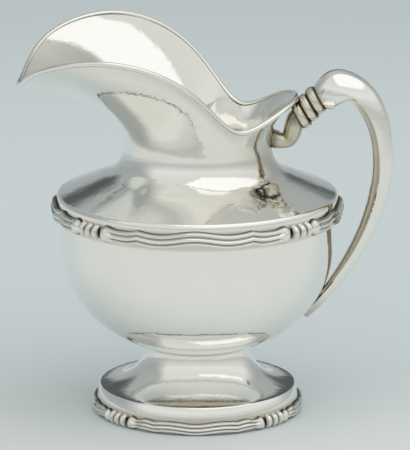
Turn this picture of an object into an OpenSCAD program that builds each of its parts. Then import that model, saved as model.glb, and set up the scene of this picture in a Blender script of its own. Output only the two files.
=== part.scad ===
// Cream jug in polished silver: a round bowl on a hollow pedestal foot, a shouldered upper body
// drawn up into a wide helmet lip, two applied reed borders tied with ribs, and a hollow-backed
// scroll handle. Millimetres, +Z up, spout towards -X, handle towards +X.
// The origin is on the jug's axis at the table.

/* [Bowl] */
// Outer radius of the bowl at its straight upper wall
bowl_r = 40; // [34:0.5:48]
// Height of the bowl from its flat base to its top edge
bowl_h = 41.8; // [38:0.1:52]
// Height of the rounded lower part of the bowl
bowl_round_h = 35.3; // [29:0.1:37]
// Radius of the bowl's flat base
bowl_base_r = 15.6; // [14:0.1:20]
// Fullness of the bowl's curve, more is squarer
bowl_fullness = 2.5; // [2:0.1:3.2]
// Thickness of the bowl's sheet
bowl_wall = 1; // [0.7:0.1:1.4]

/* [Shoulder and neck] */
// Thickness of the upper body's sheet
sheet_wall = 0.9; // [0.6:0.1:1.3]
// How far the upper body's skirt laps down over the bowl
skirt_lap = 2.8; // [1.5:0.1:4]
// Height of the plain band above the bowl's top edge
band_h = 1.9; // [1:0.1:4]
// Thickness of the skirt outside the bowl
skirt_wall = 0.7; // [0.5:0.05:1.2]
// Rounding of the shoulder's outer edge
shoulder_edge_r = 1.5; // [1:0.1:3]
// Rise of the shoulder cone, in degrees above level
shoulder_rise = 22; // [12:0.5:32]
// Outer radius of the neck at its narrowest
neck_r = 21.5; // [17:0.5:26]
// Radius of the hollow curve from shoulder to neck
neck_curve_r = 9; // [5:0.5:12]

/* [Lip] */
// Overhang of the rear lip tip beyond the neck
lip_rear_out = 7.8; // [5:0.1:10]
// Height of the rear lip tip above the neck
lip_rear_up = 14.9; // [13:0.1:20]
// Overhang of the lip between rear tip and waist
lip_heel_out = 6.2; // [4:0.1:9]
// Height of the lip between rear tip and waist
lip_heel_up = 12.5; // [10:0.1:17]
// Overhang of the lip at its low waist
lip_waist_out = 2.1; // [1:0.1:6]
// Height of the lip at its low waist
lip_waist_up = 8.8; // [7:0.1:13]
// Overhang of the lip at the jug's flank
lip_flank_out = 8; // [5:0.1:15]
// Height of the lip at the jug's flank
lip_flank_up = 21; // [16:0.1:26]
// Overhang of the lip at its crest
lip_crest_out = 22.9; // [16:0.1:28]
// Height of the lip at its crest
lip_crest_up = 32.2; // [26:0.1:38]
// Overhang of the lip beside the spout
lip_side_out = 30.5; // [22:0.1:36]
// Height of the lip beside the spout
lip_side_up = 26.2; // [20:0.1:32]
// Overhang of the spout tip beyond the neck
lip_tip_out = 30.9; // [22:0.1:38]
// Height of the spout tip above the neck
lip_tip_up = 17.9; // [13:0.1:24]
// How late the wall turns out into the lip at the rear tip, more is later
lip_rear_flare = 2.5; // [1.4:0.1:4]
// How late the wall turns out into the lip from waist to flank
lip_flank_flare = 1.25; // [1.2:0.05:3]
// How late the wall turns out into the lip at its crest
lip_crest_flare = 1.6; // [1.3:0.1:4]
// How late the wall turns out into the lip at the spout
lip_tip_flare = 3.4; // [1.4:0.1:4.5]
// How far the wall turns up again like a bell to the lip's crest, as a share
lip_crest_bell = 0.75; // [0:0.05:1]
// How far the wall turns up again beside the spout
lip_side_bell = 0.3; // [0:0.05:1]
// Radius of the wire that finishes the lip's edge
rim_wire_r = 0.75; // [0.65:0.05:1.2]

/* [Girdle border] */
// Half height of the girdle reeds
girdle_half_h = 2.15; // [1.5:0.05:2.6]
// How far the girdle reeds stand out from the band
girdle_depth = 1.75; // [1.2:0.05:2.5]
// Depth of the dips in the girdle's wavy line
girdle_dip = 1.1; // [0.2:0.05:1.4]
// Radius of the ribs that tie the girdle reeds
girdle_rib_r = 2.25; // [1.7:0.05:2.6]
// Spacing of those ribs
girdle_rib_pitch = 2.6; // [1.8:0.05:3]
// Drop of the girdle's middle line below the bowl's top edge
girdle_drop = 1.25; // [0.4:0.05:1.8]
// Half turn from the jug's front to a girdle tie, in degrees
girdle_tie_turn = 46.5; // [40:0.5:50]

/* [Foot] */
// Height of the foot
foot_h = 19.9; // [16:0.1:28]
// Outer radius of the foot's narrow stem
foot_stem_r = 15.2; // [13:0.1:15.6]
// Radius of the crisp edge of the foot's dish
foot_dish_r = 28.3; // [24:0.1:34]
// Height of that edge above the table
foot_dish_up = 7.8; // [6.4:0.1:10]
// How far the plain band below the dish spreads outwards
foot_band_out = 1; // [0.4:0.1:2]
// Thickness of the foot's sheet
foot_wall = 1; // [0.7:0.1:1.4]

/* [Foot border] */
// Half height of the foot reeds
foot_reed_half_h = 1.65; // [1.3:0.05:2.2]
// How far the foot reeds stand out from the foot
foot_reed_depth = 1.6; // [1.1:0.05:2.4]
// Depth of the dips in the foot's wavy line
foot_dip = 0.55; // [0.1:0.05:0.8]
// Radius of the ribs that tie the foot reeds
foot_rib_r = 2; // [1.5:0.05:2.3]
// Spacing of those ribs
foot_rib_pitch = 2.35; // [1.6:0.05:2.7]
// Half turn from the jug's front to a foot tie, in degrees
foot_tie_turn = 48.5; // [40:0.5:50]

/* [Handle] */
// Tilt of the collar rings, in degrees above level
ring_tilt = 30; // [22:1:38]
// Radius of the collar rings
ring_r = 4.3; // [3.4:0.05:4.8]
// Thickness of one collar ring
ring_h = 2.8; // [2:0.05:3.2]
// Rounding of the collar rings' edges
ring_edge_r = 2; // [1.7:0.1:3]
// Sideways step from each collar ring to the next
ring_step = 0.8; // [0:0.1:1.2]
// Shift of the ring stack along its axis from the rear lip tip
ring_shift = 1.4; // [0:0.1:1.8]
// Run of the bulb outwards from the last ring
bulb_out = 8.4; // [7:0.1:13]
// Rise of the bulb's far end above the last ring
bulb_up = 0.1; // [-1:0.1:3]
// Thickness of the handle where it leaves the rings
bulb_start_d = 7.1; // [5:0.1:8]
// Width of the bulb
bulb_d = 11.4; // [9:0.1:13]
// Height of the bulb above the curve that the strap's rims follow
bulb_crown = 7; // [5.5:0.1:8]
// Depth of the bulb below that curve
bulb_belly = 4.8; // [3.6:0.1:5]
// Width of the strap at its widest sweep
strap_w = 7.3; // [5:0.1:10]
// Depth of the strap at its widest sweep
strap_depth = 5.1; // [3.5:0.1:7]
// Width of the strap's tip on the bowl
strap_tip_w = 1.8; // [1:0.1:3]
// Depth of the strap's tip on the bowl
strap_tip_depth = 2; // [0.8:0.1:2.6]
// Height of the strap's tip above the bowl's base
strap_tip_up = 8.6; // [4:0.1:14]
// Turn of the strap about its own length, in degrees
strap_twist = 17; // [0:1:30]
// Pull of the strap's curve where it leaves the bulb
strap_start_pull = 15; // [10:0.5:24]
// Pull of the strap's curve where it reaches the bowl
strap_end_pull = 37; // [30:0.5:48]
// Share of the strap's depth that its back channel takes
channel_share = 0.5; // [0.2:0.05:0.65]
// Width of each of the two rims beside the channel
channel_rim = 0.7; // [0.4:0.05:1]
// Thickness of the hook stem
hook_d = 4.3; // [3.5:0.1:6]
// Height of the hook's seat above the neck's narrowest
hook_seat_up = 2.3; // [0:0.1:4]

/* [Fits] */
// Solder seam between soldered pieces
seam = 0.05; // [0.02:0.01:0.15]

/* [Hidden] */
$fn = 96;
QUARTERS = [1:4];
RINGS = [1:3];
// Reed lengths sit at every quarter turn, with a ribbed tie between each two
QUARTER_TURN = 90;
// Places along a reed's half length, as shares of it: first dip, cusp and second dip
REED_STEPS = 14;
DIP_A = 5 / REED_STEPS;
CUSP = 8 / REED_STEPS;
DIP_B = 10 / REED_STEPS;
// Share of the dip that is left at the cusp, and at the ends of the girdle's and the foot's reeds
CUSP_SHARE = 0.4;
GIRDLE_END_SHARE = 0.65;
FOOT_END_SHARE = 0;
// Knob at the end of a reed: where the reed narrows, where it is narrowest, where the knob rounds off
PINCH_START = 0.7;
KNOB_START = 0.83;
KNOB_ROUND = 0.925;
KNOB_SWELL = 0.16;
KNOB_CLOSES = 0.9;
// How much the girdle's and the foot's reeds narrow before the knob
GIRDLE_PINCH = 0.05;
FOOT_PINCH = 0.2;
PLAIN_STEPS = 11;
REED_SHARES = concat(
    [for (k = [0:PLAIN_STEPS]) k / REED_STEPS],
    [KNOB_START, (KNOB_START + KNOB_ROUND) / 2, KNOB_ROUND, (KNOB_ROUND + 1) / 2, 1]);
// Gap between a reed's knob and the tie beside it, in degrees
KNOB_GAP = 0.3;
// Outline of a reed bundle across its height: three strands with two grooves
REED_OUTLINE = [[-1, 0.15], [-0.7, 0.8], [-0.36, 0.66], [0, 1], [0.36, 0.66], [0.7, 0.78], [1, 0.15]];
// Height of a reed's flat back as a share of the bundle
REED_BACK = 0.9;
// Ribs in a tie, its half span in ribs, and rib thickness as a share of their pitch
TIE_RIBS = [-1:1];
TIE_HALF_SPAN = 1.5;
RIB_FILL = 0.86;
// Backing of a tie: its half span in ribs, its depth and half height as shares of the rib's radius
BACKING_SPAN = 1.3;
BACKING_DEPTH = 0.4;
BACKING_HALF_H = 0.7;
// Angles of the lip's stations round the jug, from the rear tip to the spout tip
HEEL_A = 30;
WAIST_A = 57;
FLANK_A = 90;
CREST_A = 125;
SIDE_A = 152;
TIP_A = 180;
// The lip's outline comes to a soft point at the spout
TIP_POINT = 0.15;
LIP_SIDES = 60;
// Shares of the lip's height at which its wall has a row of points
LIP_ROWS = [0.2, 0.36, 0.5, 0.62, 0.72, 0.81, 0.89, 0.95];
BOWL_ROWS = 20;
// Rows of the bowl's curve crowd towards its base by this power
BOWL_CROWDING = 1.4;
NECK_ROWS = 6;
EDGE_ROWS = 3;
FOOT_ROWS = 14;
// Bevel at the edge of the foot's dish, and the angle at which the sweep ends inside the foot
DISH_BEVEL = 0.3;
SWEEP_INSIDE = 82;
WIRE_SIDES = 8;
HANDLE_SIDES = 9;
STRAP_ROWS = 26;
BULB_ROWS = 14;
HOOK_ROWS = 14;
HOOK_SIDES = 12;
STRAP_START_A = -35;
STRAP_END_A = 46;
// Pull of the bulb's curve at both of its ends
BULB_PULL = 3.6;
// The strap keeps its full depth up to this share of its run, then tapers by this power
TAPER_START = 0.38;
TAPER_POWER = 0.6;
// How fast the bulb and its underside grow to full size, and the power by which the underside rounds off
BULB_GROWS = 1.6;
BELLY_GROWS = 4;
HEEL_POWER = 5.2;
// Share of the strap's run over which the channel opens
CHANNEL_OPENS = 0.12;
// The channel's rims take at most this share of the half width, and stand this proud of the curve
RIM_SHARE = 0.4;
RIM_STEP = 0.01;
// The hook swells towards the rings by this share, between these shares of its run
HOOK_SWELL = 0.28;
HOOK_SWELLS = [0.25, 0.8];
// At the neck it spreads by this share, up to this share of its run
HOOK_ROOT = 0.25;
HOOK_ROOT_END = 0.25;
// Hook control points: run and drop from its seat, and back from the first ring
HOOK_OUT = [6.6, -2.2];
HOOK_BACK = [-2.4, -5.6];
SILVER = [0.80, 0.81, 0.82];
WARM_SILVER = [0.72, 0.69, 0.62];

// Heights and radii that follow from the sizes above
bowl_z = foot_h;
bowl_top_z = bowl_z + bowl_h;
bowl_round_z = bowl_z + bowl_round_h;
bowl_in_r = bowl_r - bowl_wall;
band_r = bowl_r + seam + skirt_wall;
band_top_z = bowl_top_z + band_h;
cone_r = band_r - shoulder_edge_r * (1 - sin(shoulder_rise));
cone_z = band_top_z + shoulder_edge_r * cos(shoulder_rise);
fillet_r = neck_r + neck_curve_r * (1 - sin(shoulder_rise));
fillet_z = cone_z + (cone_r - fillet_r) * tan(shoulder_rise);
neck_z = fillet_z + neck_curve_r * cos(shoulder_rise);
girdle_z = bowl_top_z - girdle_drop;
foot_band_r = foot_dish_r + foot_band_out;
foot_tie_z = foot_rib_r + seam;

// Cubic Hermite curve through stations [x, y], with given slopes at its two ends
function station_slope(s, i, first, last) =
    i == 0 ? first
    : i == len(s) - 1 ? last
    : (s[i + 1][1] - s[i - 1][1]) / (s[i + 1][0] - s[i - 1][0]);
function station_index(s, x, i = 0) =
    (i >= len(s) - 2 || x < s[i + 1][0]) ? i : station_index(s, x, i + 1);
function curve_at(s, x, first, last) =
    let (
        i = station_index(s, x),
        h = s[i + 1][0] - s[i][0],
        t = (x - s[i][0]) / h,
        m0 = station_slope(s, i, first, last) * h,
        m1 = station_slope(s, i + 1, first, last) * h
    )
    (2 * t ^ 3 - 3 * t ^ 2 + 1) * s[i][1] + (t ^ 3 - 2 * t ^ 2 + t) * m0
    + (3 * t ^ 2 - 2 * t ^ 3) * s[i + 1][1] + (t ^ 3 - t ^ 2) * m1;

// Cubic Bezier curve and its direction
function bezier(p, t) =
    (1 - t) ^ 3 * p[0] + 3 * t * (1 - t) ^ 2 * p[1] + 3 * t ^ 2 * (1 - t) * p[2] + t ^ 3 * p[3];
function bezier_way(p, t) =
    let (d = (1 - t) ^ 2 * (p[1] - p[0]) + 2 * t * (1 - t) * (p[2] - p[1]) + t ^ 2 * (p[3] - p[2]))
    d / norm(d);
function heading(a) = [cos(a), sin(a)];
// Smooth step from nothing to one, and its rate in between
function ease(t) = let (c = min(max(t, 0), 1)) c * c * (3 - 2 * c);
function ease_rate(t) = 6 * t * (1 - t);

// Bowl outline: radius at height z, for a skin that lies inset from the outside
function bowl_radius(z, inset = 0) =
    let (
        full_r = bowl_r - inset,
        drop = max(0, bowl_round_z - z) / (bowl_round_h - inset),
        closing = 1 - (bowl_base_r / full_r) ^ 2
    )
    full_r * sqrt(1 - closing * min(1, drop) ^ bowl_fullness);
function bowl_skin(inset) =
    let (low = bowl_z + inset, round_h = bowl_round_h - inset)
    concat(
        [for (k = [0:BOWL_ROWS])
            let (z = low + round_h * (k / BOWL_ROWS) ^ BOWL_CROWDING)
            [bowl_radius(z, inset), z]],
        [[bowl_r - inset, bowl_top_z]]);

// Lip outline round the jug, as overhang beyond the neck and height above it
function lip_angle(a) = abs(a > 180 ? a - 360 : a);
LIP_OUT = [[0, lip_rear_out], [HEEL_A, lip_heel_out], [WAIST_A, lip_waist_out],
    [FLANK_A, lip_flank_out], [CREST_A, lip_crest_out], [SIDE_A, lip_side_out], [TIP_A, lip_tip_out]];
LIP_UP = [[0, lip_rear_up], [HEEL_A, lip_heel_up], [WAIST_A, lip_waist_up],
    [FLANK_A, lip_flank_up], [CREST_A, lip_crest_up], [SIDE_A, lip_side_up], [TIP_A, lip_tip_up]];
function lip_out(a) = curve_at(LIP_OUT, lip_angle(a), 0, TIP_POINT);
function lip_up(a) = curve_at(LIP_UP, lip_angle(a), 0, 0);
// Its wall in between, part flare and part bell: share of the overhang reached at share t of the height
LIP_FLARE = [[0, lip_rear_flare], [WAIST_A, lip_flank_flare], [FLANK_A, lip_flank_flare],
    [CREST_A, lip_crest_flare], [TIP_A, lip_tip_flare]];
LIP_BELL = [[0, 0], [WAIST_A, 0], [FLANK_A, 0], [CREST_A, lip_crest_bell],
    [SIDE_A, lip_side_bell], [TIP_A, 0]];
function lip_flare(a) = curve_at(LIP_FLARE, lip_angle(a), 0, 0);
function lip_bell(a) = curve_at(LIP_BELL, lip_angle(a), 0, 0);
function lip_share(a, t) =
    let (bell = lip_bell(a))
    (1 - bell) * t ^ lip_flare(a) + bell * ease(t);
function lip_rate(a, t) =
    let (flare = lip_flare(a), bell = lip_bell(a))
    (1 - bell) * flare * t ^ (flare - 1) + bell * ease_rate(t);
function lip_point(a, t) = [neck_r + lip_out(a) * lip_share(a, t), neck_z + lip_up(a) * t];
function lip_way(a, t) =
    let (d = [lip_out(a) * lip_rate(a, t), lip_up(a)])
    d / norm(d);
// The sheet stops short of the full outline by the height of the wire on its edge
wire_seat = sqrt(rim_wire_r ^ 2 - (sheet_wall / 2) ^ 2);
function lip_edge(a) = 1 - (rim_wire_r + wire_seat) / norm([lip_out(a) * lip_rate(a, 1), lip_up(a)]);
function inward(way) = [-way[1], way[0]];
function lip_wire_centre(a) =
    let (t = lip_edge(a), way = lip_way(a, t))
    lip_point(a, t) + inward(way) * sheet_wall / 2 + way * wire_seat;

// Section of the upper body in the half plane at angle a, as [radius, height] points
function fillet_arc(gap) =
    [for (k = [0:NECK_ROWS])
        let (b = (90 - shoulder_rise) * (1 - k / NECK_ROWS))
        [neck_r + neck_curve_r - (neck_curve_r + gap) * cos(b), neck_z - (neck_curve_r + gap) * sin(b)]];
function edge_arc() =
    [for (k = [0:EDGE_ROWS])
        let (b = (90 - shoulder_rise) * k / EDGE_ROWS)
        [band_r - shoulder_edge_r * (1 - cos(b)), band_top_z + shoulder_edge_r * sin(b)]];
function lip_wall(a, inset) =
    [for (share = concat(LIP_ROWS, [1]))
        let (t = share * lip_edge(a))
        lip_point(a, t) + inward(lip_way(a, t)) * inset];
function cone_under(r) = cone_z + (cone_r - r) * tan(shoulder_rise) - sheet_wall / cos(shoulder_rise);
function reversed(list) = [for (i = [len(list) - 1:-1:0]) list[i]];
skirt_in_r = (bowl_r + seam) / cos(180 / LIP_SIDES);
function body_section(a) = concat(
    [[band_r, bowl_top_z - skirt_lap]],
    edge_arc(),
    fillet_arc(0),
    lip_wall(a, 0),
    reversed(lip_wall(a, sheet_wall)),
    reversed(fillet_arc(sheet_wall)),
    [[bowl_in_r, cone_under(bowl_in_r)], [bowl_in_r, bowl_top_z],
     [skirt_in_r, bowl_top_z], [skirt_in_r, bowl_top_z - skirt_lap]]);
// Radius of the upper body's outside at height z on the handle's side
function neck_outside(z) =
    z < neck_z
    ? neck_r + neck_curve_r - sqrt(max(0, neck_curve_r ^ 2 - (neck_z - z) ^ 2))
    : lip_point(0, (z - neck_z) / lip_rear_up)[0];

// Turns a [radius, height] point to angle a round the jug's axis
function turned(p, a) = [p[0] * cos(a), p[0] * sin(a), p[1]];

// Solid whose skin joins rings of points, either closed into a loop or capped at both ends
module skin(rings, loop = false) {
    n = len(rings);
    m = len(rings[0]);
    last = loop ? n - 1 : n - 2;
    sides = [for (i = [0:last], j = [0:m - 1], half = [0, 1])
        let (
            a = i * m + j,
            b = i * m + (j + 1) % m,
            c = ((i + 1) % n) * m + j,
            d = ((i + 1) % n) * m + (j + 1) % m
        )
        half == 0 ? [a, b, d] : [a, d, c]];
    start = [for (j = [1:m - 2]) [0, j + 1, j]];
    end = [for (j = [1:m - 2]) [(n - 1) * m, (n - 1) * m + j, (n - 1) * m + j + 1]];
    polyhedron(
        points = [for (ring = rings) each ring],
        faces = loop ? sides : concat(sides, start, end),
        convexity = 8);
}

module bowl() {
    color(SILVER)
        rotate_extrude()
            polygon(concat(
                [[0, bowl_z]],
                bowl_skin(0),
                reversed(bowl_skin(bowl_wall)),
                [[0, bowl_z + bowl_wall]]));
}

module upper_body() {
    color(SILVER)
        skin([for (k = [0:LIP_SIDES - 1])
            let (a = k * 360 / LIP_SIDES)
            [for (p = body_section(a)) turned(p, a)]], loop = true);
}

module rim_wire() {
    mouth = asin(sheet_wall / 2 / rim_wire_r);
    color(SILVER)
        skin([for (k = [0:LIP_SIDES - 1])
            let (
                a = k * 360 / LIP_SIDES,
                way = lip_way(a, lip_edge(a)),
                centre = lip_wire_centre(a)
            )
            [for (j = [0:WIRE_SIDES])
                let (b = (180 - mouth) * (2 * j / WIRE_SIDES - 1))
                turned(centre + rim_wire_r * (cos(b) * way + sin(b) * inward(way)), a)]],
            loop = true);
}

// Foot: a stem that sweeps out into a dish, then a plain band down to the table
module foot() {
    sweep_r = foot_dish_r - foot_stem_r;
    sweep_h = foot_h - foot_dish_up;
    function sweep(inset, end) =
        [for (k = [0:FOOT_ROWS])
            let (b = end * k / FOOT_ROWS)
            [foot_dish_r - (sweep_r + inset) * cos(b), foot_h - (sweep_h + inset) * sin(b)]];
    border_top = 2 * foot_tie_z;
    color(SILVER)
        rotate_extrude()
            polygon(concat(
                sweep(0, 90),
                [[foot_dish_r + DISH_BEVEL, foot_dish_up - DISH_BEVEL],
                 [foot_band_r, border_top],
                 [foot_band_r, 0],
                 [foot_band_r - foot_wall, 0],
                 [foot_band_r - foot_wall, border_top]],
                reversed(sweep(foot_wall, SWEEP_INSIDE))));
}

// Wavy line of a border reed, in shares of the dip, at a share of the reed's half length
function wave(share, end_share) =
    let (b = abs(share), climb = 1 - CUSP_SHARE)
    b < DIP_A ? -(1 - cos(180 * b / DIP_A)) / 2
    : b < CUSP ? -1 + climb * (1 - cos(90 * (b - DIP_A) / (CUSP - DIP_A)))
    : b < DIP_B ? -1 + climb * (1 - cos(90 * (DIP_B - b) / (DIP_B - CUSP)))
    : -1 + (1 - end_share) * ease((b - DIP_B) / (1 - DIP_B));
// Size of the reed bundle there: it narrows, swells to a knob and rounds off at its end
function knob(share, pinch) =
    let (b = abs(share), past = max(0, b - KNOB_ROUND) / (1 - KNOB_ROUND))
    (1 - pinch * ease((b - PINCH_START) / (KNOB_START - PINCH_START))
        + (pinch + KNOB_SWELL) * ease((b - KNOB_START) / (KNOB_ROUND - KNOB_START)))
    * sqrt(1 - KNOB_CLOSES * past ^ 2);
function arc_angle(length, r) = length / r * 180 / PI;
// Reeds 2 and 4 lie behind and in front, 1 and 3 at the sides; each ends beside a tie
function reed_end(seat_r, pitch, tie_turn, i) =
    (i % 2 == 0 ? tie_turn : QUARTER_TURN - tie_turn)
    - TIE_HALF_SPAN * arc_angle(pitch, seat_r) - KNOB_GAP;
function tie_angle(tie_turn, i) =
    (i < 3 ? 1 : 3) * QUARTER_TURN + (i % 2 == 0 ? tie_turn : -tie_turn);

// One reed length of a border round seat_r, up to end degrees either side of its middle.
// middles gives the height of the bundle's middle line at each share of its half length.
module border_reed(seat_r, end, half_h, depth, pinch, middles, i) {
    shares = concat([for (s = reversed(REED_SHARES)) -s], [for (s = REED_SHARES) if (s > 0) s]);
    color(SILVER)
        rotate([0, 0, (i - 1) * QUARTER_TURN])
            skin([for (s = shares)
                let (a = s * end, size = knob(s, pinch), z = middles(s))
                concat(
                    [turned([seat_r + seam, z + REED_BACK * half_h * size], a),
                     turned([seat_r + seam, z - REED_BACK * half_h * size], a)],
                    [for (p = REED_OUTLINE)
                        turned([seat_r + seam + depth * size * p[1], z + half_h * size * p[0]], a)])]);
}

// Ribs that tie two reed lengths together, on a thin curved backing
module border_tie(seat_r, mid_z, rib_r, pitch, angle) {
    rib_h = pitch * RIB_FILL;
    turn = arc_angle(pitch, seat_r);
    color(WARM_SILVER)
        rotate([0, 0, angle]) {
            for (k = TIE_RIBS)
                rotate([0, 0, k * turn])
                    translate([seat_r + seam, 0, mid_z])
                        rotate([90, 0, 0])
                            rotate([0, 0, -90])
                                rotate_extrude(angle = 180)
                                    disc_outline(rib_r, rib_h, rib_h / 2);
            rotate([0, 0, -BACKING_SPAN * turn])
                rotate_extrude(angle = 2 * BACKING_SPAN * turn)
                    translate([seat_r + seam, mid_z - BACKING_HALF_H * rib_r])
                        square([BACKING_DEPTH * rib_r, 2 * BACKING_HALF_H * rib_r]);
        }
}

// Half of a disc's section, with an edge rounded by edge_r
module disc_outline(r, h, edge_r) {
    translate([0, -h / 2])
        square([r - edge_r, h]);
    intersection() {
        translate([r - edge_r, 0])
            circle(r = edge_r);
        translate([0, -h / 2])
            square([r, h]);
    }
}

// The girdle's cusps point up; its line waves about the girdle's middle, and the ties sit at its ends
function girdle_middle(s) = girdle_z + girdle_dip * (wave(s, GIRDLE_END_SHARE) + 0.5);
module girdle_reed(i) {
    end = reed_end(band_r, girdle_rib_pitch, girdle_tie_turn, i);
    border_reed(band_r, end, girdle_half_h, girdle_depth, GIRDLE_PINCH, function(s) girdle_middle(s), i);
}

module girdle_tie(i) {
    border_tie(band_r, girdle_middle(1), girdle_rib_r, girdle_rib_pitch, tie_angle(girdle_tie_turn, i));
}

// The foot's cusps point down; its middle, cusps and knobs stand just clear of the table
function foot_middle(s) =
    seam + foot_reed_half_h * max(1, knob(s, FOOT_PINCH)) - foot_dip * wave(s, FOOT_END_SHARE);
module foot_reed(i) {
    end = reed_end(foot_band_r, foot_rib_pitch, foot_tie_turn, i);
    border_reed(foot_band_r, end, foot_reed_half_h, foot_reed_depth, FOOT_PINCH,
        function(s) foot_middle(s), i);
}

module foot_tie(i) {
    border_tie(foot_band_r, foot_tie_z, foot_rib_r, foot_rib_pitch, tie_angle(foot_tie_turn, i));
}

// Ring stack: its middle ring bears with its rounded edge on the wire at the rear lip tip
ring_way = heading(ring_tilt);
ring_drop = ring_r - ring_edge_r + sqrt((ring_edge_r + rim_wire_r + seam) ^ 2 - ring_shift ^ 2);
ring_mid = lip_wire_centre(0) - inward(ring_way) * ring_drop + ring_way * ring_shift;
function ring_centre(i) = ring_mid + (i - 2) * (ring_way * ring_h + inward(ring_way) * ring_step);

module handle_ring(i) {
    c = ring_centre(i);
    color(WARM_SILVER)
        translate([c[0], 0, c[1]])
            rotate([0, 90 - ring_tilt, 0])
                rotate_extrude()
                    disc_outline(ring_r, ring_h, ring_edge_r);
}

// Point of a handle section: b across the handle, n outwards from its curve
function section_point(at, way, b, n, twist) =
    let (
        across = b * cos(twist) + n * sin(twist),
        outwards = n * cos(twist) - b * sin(twist),
        p = at + inward(way) * outwards
    )
    [p[0], across, p[1]];
// Moves a point outwards until it clears a round wall of radius r by the solder seam
function clear_of(p, r) =
    let (away = norm([p[0], p[1]]), grow = max(1, (r + seam) / away))
    [p[0] * grow, p[1] * grow, p[2]];

// Hook stem from the neck to the first ring
hook_seat = [neck_outside(neck_z + hook_seat_up), neck_z + hook_seat_up];
hook_end = ring_centre(1) - ring_way * ring_h / 2;
HOOK = [hook_seat, hook_seat + HOOK_OUT, hook_end + HOOK_BACK, hook_end];

module handle_hook() {
    color(WARM_SILVER)
        skin([for (k = [0:HOOK_ROWS])
            let (
                t = k / HOOK_ROWS,
                way = t == 1 ? ring_way : bezier_way(HOOK, t),
                at = t == 0 ? hook_seat - [sheet_wall, 0] : bezier(HOOK, t),
                swell = ease((t - HOOK_SWELLS[0]) / (HOOK_SWELLS[1] - HOOK_SWELLS[0])),
                root = 1 - ease(t / HOOK_ROOT_END),
                half = hook_d / 2 * (1 + HOOK_SWELL * swell + HOOK_ROOT * root)
            )
            [for (j = [0:HOOK_SIDES - 1])
                let (
                    b = -360 * j / HOOK_SIDES,
                    p = section_point(at, way, half * cos(b), half * sin(b), 0)
                )
                clear_of(p, neck_outside(p[2]))]]);
}

// Handle body: the bulb, then the strap with its hollow back
bulb_at = ring_centre(3) + ring_way * ring_h / 2;
strap_at = bulb_at + [bulb_out, bulb_up];
strap_end = [bowl_radius(bowl_z + strap_tip_up), bowl_z + strap_tip_up];
BULB = [bulb_at, bulb_at + ring_way * BULB_PULL,
    strap_at - heading(STRAP_START_A) * BULB_PULL, strap_at];
STRAP = [strap_at, strap_at + heading(STRAP_START_A) * strap_start_pull,
    strap_end + heading(STRAP_END_A) * strap_end_pull, strap_end];

// Section of the handle body: outer half round, then the inner side bulging or hollowed
function handle_section(at, way, half_w, out, into, twist) = concat(
    [for (j = [0:HANDLE_SIDES])
        let (b = 180 * j / HANDLE_SIDES)
        section_point(at, way, half_w * cos(b), out * sin(b), twist)],
    [for (j = [0:HANDLE_SIDES])
        let (
            b = 180 * j / HANDLE_SIDES,
            rim = min(channel_rim, RIM_SHARE * half_w) * ease(-into / channel_rim)
        )
        section_point(at, way, -(half_w - rim) * cos(b), -into * sin(b) - RIM_STEP, twist)]);
function bulb_part(full, t, grows) =
    bulb_start_d / 2 + (full - bulb_start_d / 2) * sin(90 * min(1, grows * t));
function taper(t) =
    t < TAPER_START ? 1 : (1 - (t - TAPER_START) / (1 - TAPER_START)) ^ TAPER_POWER;
function strap_half_w(t) =
    let (settle = ease(t / TAPER_START), full = bulb_d / 2 + (strap_w - bulb_d) / 2 * settle)
    strap_tip_w / 2 + (full - strap_tip_w / 2) * taper(t);
function strap_out(t) =
    let (settle = ease(t / TAPER_START), full = bulb_crown + (strap_depth - bulb_crown) * settle)
    strap_tip_depth + (full - strap_tip_depth) * taper(t);

module handle_strap() {
    bulb = [for (k = [0:BULB_ROWS - 1])
        let (t = k / BULB_ROWS, heel = sqrt(1 - t ^ HEEL_POWER))
        handle_section(bezier(BULB, t), bezier_way(BULB, t), bulb_part(bulb_d / 2, t, BULB_GROWS),
            bulb_part(bulb_crown, t, BULB_GROWS), bulb_part(bulb_belly, t, BELLY_GROWS) * heel,
            strap_twist * ease(t))];
    strap = [for (k = [0:STRAP_ROWS])
        let (
            t = k / STRAP_ROWS,
            open = ease(t / CHANNEL_OPENS) * ease((1 - t) / CHANNEL_OPENS)
        )
        [for (p = handle_section(bezier(STRAP, t), bezier_way(STRAP, t), strap_half_w(t), strap_out(t),
                -channel_share * strap_out(t) * open, strap_twist))
            clear_of(p, bowl_radius(p[2]))]];
    color(SILVER)
        skin(concat(bulb, strap));
}

bowl();
upper_body();
rim_wire();
foot();
handle_hook();
handle_strap();
for (i = RINGS) handle_ring(i);
for (i = QUARTERS) girdle_reed(i);
for (i = QUARTERS) girdle_tie(i);
for (i = QUARTERS) foot_reed(i);
for (i = QUARTERS) foot_tie(i);
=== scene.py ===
import math

import bpy
import numpy as np
from mathutils import Matrix, Vector


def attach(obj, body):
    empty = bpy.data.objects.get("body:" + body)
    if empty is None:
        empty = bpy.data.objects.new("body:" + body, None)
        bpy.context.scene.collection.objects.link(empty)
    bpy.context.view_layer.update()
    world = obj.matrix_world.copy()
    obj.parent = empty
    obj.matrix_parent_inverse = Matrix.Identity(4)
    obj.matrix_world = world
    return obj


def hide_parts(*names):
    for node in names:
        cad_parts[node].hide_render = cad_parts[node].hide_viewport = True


# Cream jug in mirror-polished silver. Each CAD node is replaced by a smooth skin made from the same sizes.
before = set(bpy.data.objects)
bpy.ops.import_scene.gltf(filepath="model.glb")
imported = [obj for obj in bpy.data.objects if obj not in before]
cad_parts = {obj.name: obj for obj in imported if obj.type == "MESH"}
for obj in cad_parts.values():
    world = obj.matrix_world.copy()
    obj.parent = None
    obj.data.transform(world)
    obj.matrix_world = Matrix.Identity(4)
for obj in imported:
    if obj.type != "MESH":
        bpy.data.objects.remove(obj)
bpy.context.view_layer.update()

MM = 0.001
QUARTERS = (1, 2, 3, 4)
RINGS = (1, 2, 3)

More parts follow.
